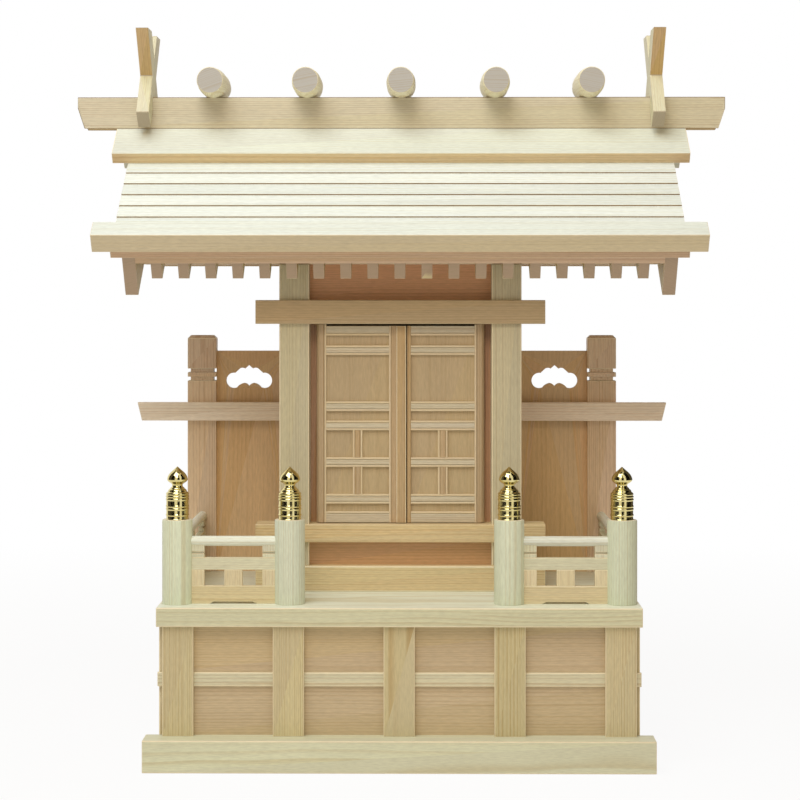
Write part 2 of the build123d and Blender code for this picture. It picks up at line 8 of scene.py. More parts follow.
import bmesh
import bpy
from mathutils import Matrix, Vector

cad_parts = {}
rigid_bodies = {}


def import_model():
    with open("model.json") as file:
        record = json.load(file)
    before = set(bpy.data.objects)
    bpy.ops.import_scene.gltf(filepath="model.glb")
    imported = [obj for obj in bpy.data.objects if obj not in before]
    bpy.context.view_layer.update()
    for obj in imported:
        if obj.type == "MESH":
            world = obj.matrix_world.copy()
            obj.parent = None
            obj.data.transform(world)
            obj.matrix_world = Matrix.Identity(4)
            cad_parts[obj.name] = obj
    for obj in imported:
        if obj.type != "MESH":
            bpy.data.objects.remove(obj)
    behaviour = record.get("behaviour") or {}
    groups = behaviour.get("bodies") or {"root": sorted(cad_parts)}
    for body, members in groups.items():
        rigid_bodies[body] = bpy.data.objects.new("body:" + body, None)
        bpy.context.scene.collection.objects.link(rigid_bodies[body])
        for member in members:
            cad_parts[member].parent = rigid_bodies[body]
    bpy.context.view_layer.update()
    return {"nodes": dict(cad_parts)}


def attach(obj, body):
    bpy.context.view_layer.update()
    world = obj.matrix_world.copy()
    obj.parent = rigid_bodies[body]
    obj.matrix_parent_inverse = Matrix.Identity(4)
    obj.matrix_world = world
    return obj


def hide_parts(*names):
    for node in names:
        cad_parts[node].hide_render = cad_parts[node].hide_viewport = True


for leftover in list(bpy.data.objects):
    bpy.data.objects.remove(leftover)
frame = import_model()

log = logging.getLogger("shrine")
logging.basicConfig(level=logging.INFO, format="%(message)s")

MM = 0.001
PITCH = math.radians(36.0)
PLINTH_FRONT = -131.5
RIDGE_Y = PLINTH_FRONT + 172.5
FORK_LEAN = math.radians(52.0)
FORK_CROSS_Z = 540.9
# how far apart in the tree the pieces were cut, in metres: along the fibres and twice across them
PIECE_SHIFT = (1.3, 0.06, 0.06)
END_GRAIN_SUMMER = "#AB9D83"
Point = tuple[float, float]
Span = tuple[float, float]


def linear(hex_colour: str) -> tuple[float, float, float, float]:
    """Turn an sRGB hex colour into the linear values that shaders work in.

    Args:
        hex_colour: Six hex digits, with or without a leading #.

    Returns:
        Linear red, green and blue, and an alpha of 1.
    """
    digits = hex_colour.lstrip("#")
    shades = [int(digits[i:i + 2], 16) / 255 for i in (0, 2, 4)]
    values = [c / 12.92 if c <= 0.04045 else ((c + 0.055) / 1.055) ** 2.4 for c in shades]
    return (values[0], values[1], values[2], 1.0)


def add(tree: bpy.types.NodeTree, kind: str, inputs: dict | None = None, **settings: Any) -> bpy.types.Node:
    """Add one node with its settings, and link or set its inputs.

    Args:
        tree: The node tree that gets the node.
        kind: The node's type without the ShaderNode prefix.
        inputs: Input name or index to a socket to link, or to a plain value.
        settings: Attributes of the node itself.

    Returns:
        The new node.
    """
    node = tree.nodes.new("ShaderNode" + kind)
    for name, value in settings.items():
        setattr(node, name, value)
    for key, value in (inputs or {}).items():
        if isinstance(value, bpy.types.NodeSocket):
            tree.links.new(value, node.inputs[key])
        else:
            node.inputs[key].default_value = value
    return node


def compute(tree: bpy.types.NodeTree, operation: str, *values: Any) -> bpy.types.NodeSocket:
    """Result of a Math node on sockets or numbers."""
    return add(tree, "Math", dict(enumerate(values)), operation=operation).outputs[0]


def shift(tree: bpy.types.NodeTree, operation: str, *values: Any) -> bpy.types.NodeSocket:
    """Result of a Vector Math node on sockets or vectors."""
    node = add(tree, "VectorMath", dict(enumerate(values)), operation=operation)
    return node.outputs["Value" if operation in ("LENGTH", "DOT_PRODUCT") else "Vector"]


def rescale(tree: bpy.types.NodeTree, value: Any, low: float, high: float) -> bpy.types.NodeSocket:
    """A value from 0 to 1, laid out from low to high."""
    return add(tree, "MapRange", {"Value": value, "To Min": low, "To Max": high}).outputs["Result"]


def blend(tree: bpy.types.NodeTree, factor: Any, first: Any, second: Any) -> bpy.types.NodeSocket:
    """The first colour, which gives way to the second as the factor rises to 1."""
    colours = {"Factor": factor, "A": first, "B": second}
    return add(tree, "Mix", colours, data_type="RGBA").outputs["Result"]


def seen_rays(tree: bpy.types.NodeTree) -> bpy.types.NodeSocket:
    """1 for rays that see a surface straight, in a mirror or through glass, and 0 for rays of light."""
    ray = add(tree, "LightPath")
    seen = compute(tree, "MAXIMUM", ray.outputs["Is Camera Ray"], ray.outputs["Is Glossy Ray"])
    return compute(tree, "MAXIMUM", seen, ray.outputs["Is Transmission Ray"])


def new_material(name: str) -> bpy.types.Material:
    """A node material with an empty tree."""
    material = bpy.data.materials.new(name)
    material.use_nodes = True
    material.node_tree.nodes.clear()
    return material


def new_object(name: str, data: bpy.types.ID) -> bpy.types.Object:
    """An object made of the data, linked into the scene."""
    obj = bpy.data.objects.new(name, data)
    bpy.context.scene.collection.objects.link(obj)
    return obj


class Grain(Enum):
    """Which way the fibres of a timber run."""

    ALONG_X = "along_x"
    ALONG_Y = "along_y"
    UPRIGHT = "upright"
    UP_THE_SLOPE = "up_the_slope"
    CROSSED_ARMS = "crossed_arms"


@dataclass(frozen=True)
class GrainFrame:
    """How row-frame coordinates turn so that the fibres lie along local X."""

    rotation: tuple[float, float, float]
    end_axis: tuple[float, float, float]
    end_range: Span
    fold: tuple[float, float, float] | None = None


GRAIN_FRAMES = {
    Grain.ALONG_X: GrainFrame((0, 0, 0), (1, 0, 0), (0.72, 0.82)),
    Grain.ALONG_Y: GrainFrame((0, 0, -math.pi / 2), (0, 1, 0), (0.72, 0.82)),
    Grain.UPRIGHT: GrainFrame((0, math.pi / 2, 0), (0, 0, 1), (0.72, 0.82)),
    Grain.UP_THE_SLOPE: GrainFrame(
        (PITCH, 0, -math.pi / 2),
        (0, math.cos(PITCH), -math.sin(PITCH)),
        (0.16, 0.24),
        (0, RIDGE_Y * MM, 0),
    ),
    Grain.CROSSED_ARMS: GrainFrame(
        (-FORK_LEAN, 0, -math.pi / 2),
        (0, math.cos(FORK_LEAN), -math.sin(FORK_LEAN)),
        (0.12, 0.2),
        (0, RIDGE_Y * MM, FORK_CROSS_Z * MM),
    ),
}


@dataclass(frozen=True)
class Tone:
    """The colours of one selection of boards: spring wood, summer wood and end grain."""

    name: str
    spring: str
    summer: str
    end: str = "#B9AD97"


PLINTH = Tone("plinth", "#DCDFC7", "#C2B58B")
BASE_PANEL = Tone("base_panel", "#D0BE9C", "#AE8E63")
BASE_POST = Tone("base_post", "#D1C7A2", "#B39766")
TIE = Tone("tie", "#E2DFC3", "#C1A97E")
DECK = Tone("deck", "#DDDEC0", "#C2B586")
# painted light: a paler, greyer copy of the deck's tone for its upward faces
DECK_TOP_PAINTED_LIGHT = Tone("deck_top", "#E4EADB", "#C9BF99")
# the posts' end grain is far paler than other end grain: a painted highlight on the rim round each post top
NEWEL = Tone("newel", "#DAE3CF", "#BDAF86", "#E8E4D0")
PALING = Tone("paling", "#DADBC4", "#BFB189")
TOP_RAIL = Tone("top_rail", "#E9F0E6", "#CDC4A4")
PALING_FOOT = Tone("paling_foot", "#E3D7B5", "#C7AD7E")
SILL = Tone("sill", "#E2D1A7", "#C39E6B")
INFILL = Tone("infill", "#D8B18B", "#AB7B54")
# painted warm shade: a warmer, more orange copy of the infill for the band under the eaves
FRIEZE_WARM_SHADE = Tone("frieze", "#E3B184", "#B47B50")
JAMB = Tone("jamb", "#C39A78", "#9A6E4C")
HEAD_BEAM = Tone("head_beam", "#C3B08D", "#A18963")
COLUMN = Tone("column", "#CCC6AB", "#AC9871")
DOOR_STILE = Tone("door_stile", "#C5AE88", "#A88356")
# painted light: paler than the stiles of the same frames, for the light that reaches the rails below the
# eave's shade
DOOR_RAIL_PAINTED_LIGHT = Tone("door_rail", "#D6CFBA", "#B69D76")
# painted highlight: a paler copy that makes the beads catch the light
BEAD_PAINTED_HIGHLIGHT = Tone("bead", "#E4D5B6", "#CDB48C")
DOOR_PANEL = Tone("door_panel", "#C6B290", "#A5855C")
SCREEN_POST = Tone("screen_post", "#DEC8AD", "#BD976F")
SCREEN_RAIL = Tone("screen_rail", "#EFE4D4", "#CCAC8A")
SCREEN_PANEL = Tone("screen_panel", "#DDBF94", "#B98F5F")
# the roof boards' own pale colour, raised further and greyed: painted sheen and light on the slope
ROOF_BOARD = Tone("roof_board", "#EAF3F2", "#DBDDC3")
COVER_FACE = Tone("cover_face", "#E1E8DF", "#D2CFB3")
# painted shade: a darker, warmer copy of the covers' tone for faces turned down, their lower edges and the
# beam's underside
COVER_PAINTED_SHADE = Tone("cover_edge", "#E3CFA7", "#C8A876")
# painted shade: dark brown for the boards' lower edges, a shade line under each course, and for the ridge
# beam's arrises, a shadow line along it
PAINTED_SHADE_EDGE = Tone("board_edge", "#7C6039", "#664E2C")
# the eave bars' tone is the roof boards' pale one: painted light on their tops
EAVE = Tone("eave", "#E7F0EC", "#D7D8C6")
# painted shade: a darker copy for the eave bars' faces down the slope
EAVE_FRONT_PAINTED_SHADE = Tone("eave_front", "#DFD5B7", "#CBBA8D")
RAFTER = Tone("rafter", "#DCD0A6", "#B7A273", "#B8A38E")
BATTEN = Tone("batten", "#D4BCA1", "#B28D66")
RIDGE_BEAM = Tone("ridge_beam", "#D7D1B9", "#B49C79")
# the wood's pale colour raised further: painted light on the logs' shaded sides
LOG = Tone("log", "#F1ECCE", "#D5C090", "#BCBBB8")
# the arms' end grain is paler than other end grain: painted light on their end faces
FORK = Tone("fork", "#DDDBBE", "#C3B185", "#DED4BC")
# painted shade: a darker, warmer copy of the finials' tone for their downward faces
FORK_UNDER_PAINTED_SHADE = Tone("fork_under", "#D1B684", "#B58F60")
# painted highlight: a pale tone for eased edges, lighter than the faces, where they catch the light
PAINTED_HIGHLIGHT_ARRIS = Tone("arris", "#F2E9CD", "#E8D9B2")


@dataclass(frozen=True)
class PlanedCypress:
    """Hinoki cypress, sawn and hand-planed, left bare.

    The eye gets a pale satin surface with narrow darker summer-wood lines, a faint fibre
    along the grain, greyer end grain, and pieces that differ a little from each other.
    """

    tone: Tone
    grain: Grain
    ring_mm: float = 1.9
    contrast: float = 0.6
    waviness_mm: float = 1.6
    pith_mm: tuple[float, float] = (46.0, 30.0)
    roughness: Span = (0.42, 0.58)
    # tone of the eased edges, by default the painted highlight
    edge: Tone = PAINTED_HIGHLIGHT_ARRIS

    @property
    def arris(self) -> "PlanedCypress":
        """The finish of its eased edges, in its edge tone: mostly a painted highlight, on the ridge beam a
        painted shadow line.
        """
        return PlanedCypress(self.edge, self.grain, self.ring_mm, 0.3)

    @property
    def name(self) -> str:
        """Name of the material, from the tone, the grain and the ring width."""
        return f"hinoki_{self.tone.name}_{self.grain.value}_{round(self.ring_mm * 10)}"

    def material(self) -> bpy.types.Material:
        """Build the material, or return it if it is there already.

        Returns:
            The node material.
        """
        found = bpy.data.materials.get(self.name)
        if found:
            return found
        material = new_material(self.name)
        tree = material.node_tree
        across, chance, end = self.timber_space(tree)
        rings, strength = self.rings(tree, across, chance)
        self.surface(tree, across, chance, rings, strength, end)
        return material

    def timber_space(self, tree: bpy.types.NodeTree) -> tuple:
        """Coordinates with the fibres along X, shifted by a random amount for each piece.

        Args:
            tree: The material's node tree.

        Returns:
            The coordinates, three random numbers for the piece, and the end-grain mask.
        """
        turn = GRAIN_FRAMES[self.grain]
        coordinate = add(tree, "TexCoord")
        geometry = add(tree, "NewGeometry")
        place = coordinate.outputs["Object"]
        if turn.fold:
            place = shift(tree, "ABSOLUTE", shift(tree, "SUBTRACT", place, turn.fold))
        turned = add(tree, "Mapping", {"Vector": place, "Rotation": turn.rotation}).outputs[0]
        island = {"W": geometry.outputs["Random Per Island"]}
        chance = add(tree, "TexWhiteNoise", island, noise_dimensions="1D").outputs["Color"]
        spread = shift(tree, "MULTIPLY", shift(tree, "SUBTRACT", chance, (0.5, 0.5, 0.5)), PIECE_SHIFT)
        pith = (0.0, self.pith_mm[0] * MM, self.pith_mm[1] * MM)
        across = shift(tree, "ADD", shift(tree, "ADD", turned, pith), spread)
        facing = shift(tree, "ABSOLUTE", coordinate.outputs["Normal"])
        along = compute(tree, "ABSOLUTE", shift(tree, "DOT_PRODUCT", facing, turn.end_axis))
        low, high = turn.end_range
        end = add(tree, "MapRange", {"Value": along, "From Min": low, "From Max": high})
        return across, chance, end.outputs["Result"]

    def rings(self, tree: bpy.types.NodeTree, across: Any, chance: Any) -> tuple:
        """Growth rings about a far pith, bent by the tree's own waviness.

        Args:
            tree: The material's node tree.
            across: Coordinates with the fibres along X.
            chance: Random numbers of the piece.

        Returns:
            How far through its ring a point is, as a darkness, and how strong that ring is.
        """
        radius = shift(tree, "LENGTH", shift(tree, "MULTIPLY", across, (0.015, 1, 1)))
        stretch = shift(tree, "MULTIPLY", across, (5.0, 26.0, 26.0))
        sway = add(tree, "TexNoise", {"Vector": stretch, "Scale": 1.0, "Detail": 2.0, "Roughness": 0.45})
        reach = self.waviness_mm * MM
        bent = compute(tree, "ADD", radius, rescale(tree, sway.outputs["Fac"], -reach, reach))
        # wet and dry years: runs of wide rings and runs of close ones
        years = {"W": bent, "Scale": 1 / (9 * self.ring_mm * MM), "Detail": 1.0}
        weather = add(tree, "TexNoise", years, noise_dimensions="1D")
        bent = compute(tree, "MULTIPLY_ADD", weather.outputs["Fac"], 6 * self.ring_mm * MM, bent)
        count = compute(tree, "DIVIDE", bent, self.ring_mm * MM)
        year = compute(tree, "FLOOR", count)
        season = compute(tree, "FRACT", count)
        ramp = add(tree, "ValToRGB", {"Fac": season})
        stops = ramp.color_ramp.elements
        stops[0].color = (0, 0, 0, 1)
        stops[1].position = 1.0
        stops[1].color = (0, 0, 0, 1)
        for place, shade in ((0.45, 0.12), (0.8, 1.0), (0.9, 0.8)):
            stop = stops.new(place)
            stop.color = (shade, shade, shade, 1)
        luck = add(tree, "TexWhiteNoise", {"W": year, "Vector": chance}, noise_dimensions="4D")
        return ramp.outputs["Color"], rescale(tree, luck.outputs["Value"], 0.25, 1.0)

    def surface(self, tree: bpy.types.NodeTree, across: Any, chance: Any, rings: Any, strength: Any,
                end: Any) -> None:
        """Colour, roughness and relief of the planed face.

        Args:
            tree: The material's node tree.
            across: Coordinates with the fibres along X.
            chance: Random numbers of the piece.
            rings: Darkness through each ring.
            strength: How strong each ring is.
            end: End-grain mask.
        """
        shade = compute(tree, "MULTIPLY", rings, strength)
        faint = compute(tree, "MULTIPLY", shade, self.contrast)
        face = blend(tree, faint, linear(self.tone.spring), linear(self.tone.summer))
        # fibres are about 0.05 mm, drawn as coarse as 0.8 mm so that they show
        thread = shift(tree, "MULTIPLY", across, (160.0, 1250.0, 1250.0))
        fibre = add(tree, "TexNoise", {"Vector": thread, "Scale": 1.0, "Detail": 3.0}).outputs["Fac"]
        broad = shift(tree, "MULTIPLY", across, (7.0, 40.0, 40.0))
        drift = add(tree, "TexNoise", {"Vector": broad, "Scale": 1.0, "Detail": 1.0}).outputs["Fac"]
        split = add(tree, "SeparateXYZ", {0: chance})
        piece_tone = rescale(tree, split.outputs[2], 0.94, 1.04)
        tone = compute(tree, "MULTIPLY", piece_tone, rescale(tree, fibre, 0.8, 1.2))
        toned = add(
            tree,
            "HueSaturation",
            {
                "Color": face,
                "Hue": rescale(tree, split.outputs[1], 0.494, 0.504),
                "Value": compute(tree, "MULTIPLY", tone, rescale(tree, drift, 0.93, 1.07)),
                "Saturation": rescale(tree, split.outputs[0], 0.9, 1.12),
            },
        )
        sawn = blend(tree, faint, linear(self.tone.end), linear(END_GRAIN_SUMMER))
        relief = compute(tree, "MULTIPLY_ADD", fibre, 0.6, shade)
        bump = add(tree, "Bump", {"Height": relief, "Strength": 0.35, "Distance": 0.06 * MM})
        wood = add(
            tree,
            "BsdfPrincipled",
            {
                "Base Color": blend(tree, end, toned.outputs["Color"], sawn),
                "Roughness": rescale(tree, fibre, *self.roughness),
                "Normal": bump.outputs[0],
                "IOR": 1.5,
            },
        )
        add(tree, "OutputMaterial", {"Surface": wood.outputs[0]})


@dataclass(frozen=True)
class PolishedBrass:
    """Sheet brass, spun to shape, polished and lacquered: a yellow mirror with faint turning lines."""

    name: str = "polished_brass"
    light: str = "#EDE1AB"
    dull: str = "#D0BD72"
    line_mm: float = 0.5

    def material(self) -> bpy.types.Material:
        """Build the material, or return it if it is there already.

        Returns:
            The node material.
        """
        found = bpy.data.materials.get(self.name)
        if found:
            return found
        material = new_material(self.name)
        tree = material.node_tree
        place = add(tree, "TexCoord").outputs["Object"]
        mottle = add(tree, "TexNoise", {"Vector": place, "Scale": 220.0, "Detail": 3.0}).outputs["Fac"]
        squeezed = shift(tree, "MULTIPLY", place, (30.0, 30.0, 1 / (self.line_mm * MM)))
        lines = add(tree, "TexNoise", {"Vector": squeezed, "Scale": 1.0, "Detail": 2.0}).outputs["Fac"]
        bump = add(tree, "Bump", {"Height": lines, "Strength": 0.25, "Distance": 0.03 * MM})
        metal = add(
            tree,
            "BsdfPrincipled",
            {
                "Base Color": blend(tree, mottle, linear(self.light), linear(self.dull)),
                "Metallic": 1.0,
                "Roughness": rescale(tree, mottle, 0.07, 0.16),
                "Normal": bump.outputs[0],
            },
        )
        add(tree, "OutputMaterial", {"Surface": metal.outputs[0]})
        return material


@dataclass
class Draft:
    """Faces gathered for one piece, each with the index of its finish. Millimetres, in the row frame."""

    points: list[Vector] = field(default_factory=list)
    faces: list[tuple[int, ...]] = field(default_factory=list)
    finishes: list[int] = field(default_factory=list)
    rounded: list[bool] = field(default_factory=list)

    def prism(self, outline: Sequence[Point], axis: str, span: Span, finish: int = 0) -> None:
        """Add a straight prism.

        Args:
            outline: Corners in the plane across the axis, the earlier coordinate first.
            axis: The axis that the prism runs along: x, y or z.
            span: Where it starts and ends on that axis.
            finish: Index of its finish.
        """
        start = len(self.points)
        for end in span:
            for a, b in outline:
                corner = {"x": (end, a, b), "y": (a, end, b), "z": (a, b, end)}[axis]
                self.points.append(Vector(corner) * MM)
        count = len(outline)
        rows = [tuple(start + i for i in range(count)), tuple(start + count + i for i in range(count))]
        for i in range(count):
            j = (i + 1) % count
            rows.append((start + i, start + j, start + count + j, start + count + i))
        self.faces.extend(rows)
        self.finishes.extend([finish] * len(rows))
        self.rounded.extend([False] * len(rows))

    def bar(self, x: Span, y: Span, z: Span, finish: int = 0) -> None:
        """Add a square-edged bar, whose edges the piece's bevel then eases."""
        self.prism([(y[0], z[0]), (y[1], z[0]), (y[1], z[1]), (y[0], z[1])], "x", x, finish)

    def turned(self, outline: Sequence[Point], centre: tuple[float, float, float], axis: str,
               sides: int = 72, finish: int = 0) -> None:
        """Add a turned form, closed on its axis at both ends.

        Args:
            outline: Radius and place along the axis at each turn, from one end to the other.
            centre: The point that the places are counted from.
            axis: The axis it was turned about: x, y or z.
            sides: Number of sides round.
            finish: Index of its finish.
        """
        start = len(self.points)
        for radius, along in outline:
            for side in range(sides):
                angle = 2 * math.pi * side / sides
                u, v = radius * math.cos(angle), radius * math.sin(angle)
                offset = {"x": (along, u, v), "y": (v, along, u), "z": (u, v, along)}[axis]
                self.points.append((Vector(centre) + Vector(offset)) * MM)
        rings = len(outline)
        for ring in range(rings - 1):
            for side in range(sides):
                after = (side + 1) % sides
                low, high = start + ring * sides, start + (ring + 1) * sides
                self.faces.append((low + side, low + after, high + after, high + side))
        self.faces.append(tuple(start + side for side in range(sides)))
        self.faces.append(tuple(start + (rings - 1) * sides + side for side in range(sides)))
        added = (rings - 1) * sides
        self.finishes.extend([finish] * (added + 2))
        self.rounded.extend([True] * added + [False, False])

    def piece(self, name: str, finishes: Sequence[Any], body: str,
              replaced: Iterable[str] = (), bevel_mm: float = 0.0, crease: float = 35.0) -> bpy.types.Object:
        """Turn the draft into a dressed object that rides on its body.

        Args:
            name: Name of the piece.
            finishes: Its finishes, in the order of their indices.
            body: The CAD body it moves with.
            replaced: CAD nodes that it stands for.
            bevel_mm: Width of the arris on its sharp edges, or 0 for none.
            crease: Angle in degrees above which an edge between rounded faces stays sharp.

        Returns:
            The object.
        """
        mesh = bpy.data.meshes.new(name)
        mesh.from_pydata([tuple(p) for p in self.points], [], self.faces)
        for polygon, finish, rounded in zip(mesh.polygons, self.finishes, self.rounded):
            polygon.material_index = finish
            polygon.use_smooth = rounded
        work = bmesh.new()
        work.from_mesh(mesh)
        bmesh.ops.recalc_face_normals(work, faces=work.faces)
        work.to_mesh(mesh)
        work.free()
        mesh.set_sharp_from_angle(angle=math.radians(crease))
        for finish in finishes:
            mesh.materials.append(finish.material())
        obj = new_object(name, mesh)
        if bevel_mm:
            ease_edges(obj, bevel_mm, finishes[0])
        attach(obj, body)
        if replaced:
            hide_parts(*replaced)
        log.info("%s: %d faces on %s", name, len(mesh.polygons), body)
        return obj


def ease_edges(obj: bpy.types.Object, width_mm: float, timber: PlanedCypress) -> None:
    """Ease an object's sharp edges, as a plane stroke along each arris does.

    Args:
        obj: The object.
        width_mm: Width of the bevel in millimetres.
        timber: The finish of its faces, whose edge finish the new faces take: mostly a painted highlight, on
            the ridge beam a painted shadow line.
    """
    obj.data.materials.append(timber.arris.material())
    bevel = obj.modifiers.new("arris", "BEVEL")
    # the bevel's faces take the edge finish: a painted highlight on most pieces, a painted shadow line on the
    # ridge beam
    bevel.material = len(obj.data.materials) - 1
    bevel.width = width_mm * MM
    bevel.segments = 2
    bevel.limit_method = "ANGLE"
    bevel.angle_limit = math.radians(30)
    bevel.use_clamp_overlap = True


def dress(finish: Any, nodes: Iterable[str], bevel_mm: float = 0.4, other: Any = None,
          belongs: Callable[[Vector, Vector], bool] | None = None) -> None:
    """Give CAD nodes their finish, and ease their edges.

    Args:
        finish: The finish they share.
        nodes: Names of the nodes.
        bevel_mm: Width of the bevel in millimetres, or 0 to leave the edges as they are.
        other: A second finish for some of the faces.
        belongs: Tells from a face's centre in millimetres and its normal whether it takes that one.
    """
    for name in nodes:
        obj = frame["nodes"][name]
        obj.data.materials.clear()
        obj.data.materials.append(finish.material())
        if other and belongs:
            obj.data.materials.append(other.material())
            turn = obj.matrix_world.to_3x3()
            for polygon in obj.data.polygons:
                centre = obj.matrix_world @ polygon.center / MM
                polygon.material_index = int(belongs(centre, turn @ polygon.normal))
        if bevel_mm:
            weld = obj.modifiers.new("weld", "WELD")
            weld.merge_threshold = 0.002 * MM
            ease_edges(obj, bevel_mm, finish)
    log.info("%s on %s", finish.name, ", ".join(nodes))


@dataclass
class Base:
    """Plinth, boarded box and deck."""

    side_ties_from: float = PLINTH_FRONT + 31.5

    def dress(self) -> None:
        """Give each timber the grain it was cut with."""
        dress(PlanedCypress(PLINTH, Grain.ALONG_X, 3.1, 0.56, 4.5, (70.0, 8.0)), ["plinth_beams"])
        dress(PlanedCypress(PLINTH, Grain.ALONG_Y), ["plinth_sides"])
        dress(PlanedCypress(BASE_PANEL, Grain.ALONG_X, 1.7, 0.42), ["base_front_panel", "base_back_panel"], 0)
        dress(PlanedCypress(BASE_PANEL, Grain.ALONG_Y, 1.7, 0.42), ["base_side_panels"], 0)
        dress(PlanedCypress(BASE_POST, Grain.UPRIGHT, 1.8, 0.64, 1.0), ["base_posts"])
        tie = PlanedCypress(TIE, Grain.ALONG_X, 1.7, 0.64, 1.0)
        dress(
            tie, ["base_ties"], 0.3, replace(tie, grain=Grain.ALONG_Y),
            lambda centre, normal: centre.y > self.side_ties_from,
        )
        deck = PlanedCypress(DECK, Grain.ALONG_X, 3.4, 0.56, 4.5, (60.0, 20.0))
        # the deck's upward faces take the paler copy: painted light on its top
        dress(
            deck, ["deck_board"], 0.4, replace(deck, tone=DECK_TOP_PAINTED_LIGHT), lambda centre, normal: normal.z > 0.7
        )


@dataclass
class Railing:
    """Turned posts with brass caps, jointed pierced boards and round top rails."""

    post_radius: float = 11.6
    post_x: tuple[float, float] = (84.2, 170.7)
    post_y: float = PLINTH_FRONT + 37.5
    deck_top: float = 122.4
    post_top: float = 187.1
    post_arris: float = 0.9
    post_foot: float = 0.2
    board_bite: float = 0.6
    rail_bite: float = 1.0
    rail_radius: float = 3.8
    rail_z: float = 170.4
    screen_front_y: float = PLINTH_FRONT + 222.0
    board_thick: float = 5.0
    stile: float = 10.0
    strut: float = 13.9
    foot_arch: float = 1.7
    foot_margin: float = 4.1
    foot_slant: float = 3.0
    low_rail: float = 13.8
    window_top: float = 26.1
    mid_rail_top: float = 35.4
    board_top: float = 46.6
    kerf_low: float = 38.5
    kerf_high: float = 39.9
    kerf_depth: float = 1.0
    cap_outline: tuple[Point, ...] = (
        (8.9, 0.0), (8.95, 0.25), (8.8, 0.5), (8.55, 0.7), (8.55, 0.85), (8.55, 2.55), (8.55, 2.7),
        (8.9, 3.0), (9.0, 3.5), (8.9, 4.0), (8.55, 4.3), (8.55, 4.45), (8.55, 7.05), (8.55, 7.2),
        (8.85, 7.5), (9.0, 8.1), (8.8, 8.8), (8.35, 9.2), (8.8, 9.6), (9.0, 10.2), (8.85, 10.8),
        (8.55, 11.1), (8.55, 11.25), (8.55, 14.35), (8.55, 14.5), (8.85, 14.8), (9.0, 15.4),
        (8.8, 16.1), (8.35, 16.5),
        (8.8, 16.9), (9.0, 17.5), (8.75, 18.2), (8.3, 18.6), (8.7, 19.0), (8.8, 19.6), (8.5, 20.3),
        (7.9, 20.9), (7.3, 21.2), (7.2, 21.8), (6.9, 22.5), (6.2, 23.2), (5.6, 23.5), (5.4, 24.1),
        (4.7, 24.7), (4.15, 25.2), (4.0, 26.0), (4.15, 26.8), (4.9, 27.5), (6.2, 28.3), (7.2, 29.1),
        (7.75, 29.9), (7.9, 30.6), (7.8, 31.5), (7.45, 32.7), (6.8, 34.0), (5.9, 35.2), (4.85, 36.3),
        (3.7, 37.3), (2.5, 38.3), (1.4, 39.3), (0.55, 40.1), (0.05, 40.4),
    )

    def build(self) -> None:
        """Build the posts, caps, boards and rails, each in place of its CAD node."""
        self.build_posts()
        self.build_caps()
        self.build_boards()
        self.build_top_rails()

    def post_places(self) -> list[float]:
        """X of the four posts."""
        return [side * x for side in (-1, 1) for x in self.post_x]

    def build_posts(self) -> None:
        """Turned posts with a small arris round the top."""
        draft = Draft()
        r, a, foot, z0, z1 = self.post_radius, self.post_arris, self.post_foot, self.deck_top, self.post_top
        outline = [(r - foot, z0), (r, z0 + foot), (r, z1 - a), (r - 0.3 * a, z1 - 0.3 * a), (r - a, z1)]
        for x in self.post_places():
            draft.turned(outline, (x, self.post_y, 0), "z", 96)
        finish = PlanedCypress(NEWEL, Grain.UPRIGHT, 1.8, 0.45, 1.0, (38.0, 26.0))
        draft.piece("railing_posts_turned", [finish], "shrine", ["railing_posts"])

    def build_caps(self) -> None:
        """Spun caps: ribbed collar, stepped shoulder, neck and drawn-up bulb."""
        draft = Draft()
        for x in self.post_places():
            draft.turned(self.cap_outline, (x, self.post_y, self.post_top), "z", 96)
        draft.piece("brass_caps_spun", [PolishedBrass()], "shrine", ["post_caps"], crease=60)

    def board(self, draft: Draft, axis: str, start: float, length: float, bays: int, face: Span) -> None:
        """Add one pierced board, jointed from rails, stiles and struts.

        Args:
            draft: The piece that the board belongs to.
            axis: x or y, the way the board runs.
            start: Where it starts on that axis.
            length: Its length between the posts.
            bays: Number of upper openings.
            face: Its two faces on the other horizontal axis.
        """
        clear = (length - self.stile * (bays + 1)) / bays
        level, upright, foot_level, foot_upright = 0, 1, 2, 3

        def part(a: Span, z: Span, finish: int, depth: Span = face) -> None:
            """Add one bar of the board."""
            x, y = (a, depth) if axis == "x" else (depth, a)
            draft.bar(x, y, z, finish)

        z = self.deck_top
        edges = [start]
        for index in range(bays):
            low = start + self.stile + index * (clear + self.stile)
            edges.extend([low, low + clear])
        edges.append(start + length)
        openings = list(zip(edges[1::2], edges[2::2]))
        foot = [(start, z)]
        for opening in openings:
            low, high = opening[0] + self.foot_margin, opening[1] - self.foot_margin
            foot.extend([
                (low, z),
                (low + self.foot_slant, z + self.foot_arch),
                (high - self.foot_slant, z + self.foot_arch),
                (high, z),
            ])
        foot.extend([(start + length, z), (start + length, z + self.low_rail), (start, z + self.low_rail)])
        draft.prism(foot, "y" if axis == "x" else "x", face, foot_level)
        part((start, start + length), (z + self.window_top, z + self.mid_rail_top), level)
        window = (z + self.low_rail, z + self.window_top)
        core = (face[0] + self.kerf_depth, face[1] - self.kerf_depth)
        for a in zip(edges[0::2], edges[1::2]):
            part(a, window, foot_upright)
            part(a, (z + self.mid_rail_top, z + self.kerf_low), upright)
            part(a, (z + self.kerf_high, z + self.board_top), upright)
            part(a, (z + self.kerf_low, z + self.kerf_high), upright, core)
        for low, high in openings:
            centre = (low + high) / 2
            part((centre - self.strut / 2, centre + self.strut / 2), window, foot_upright)

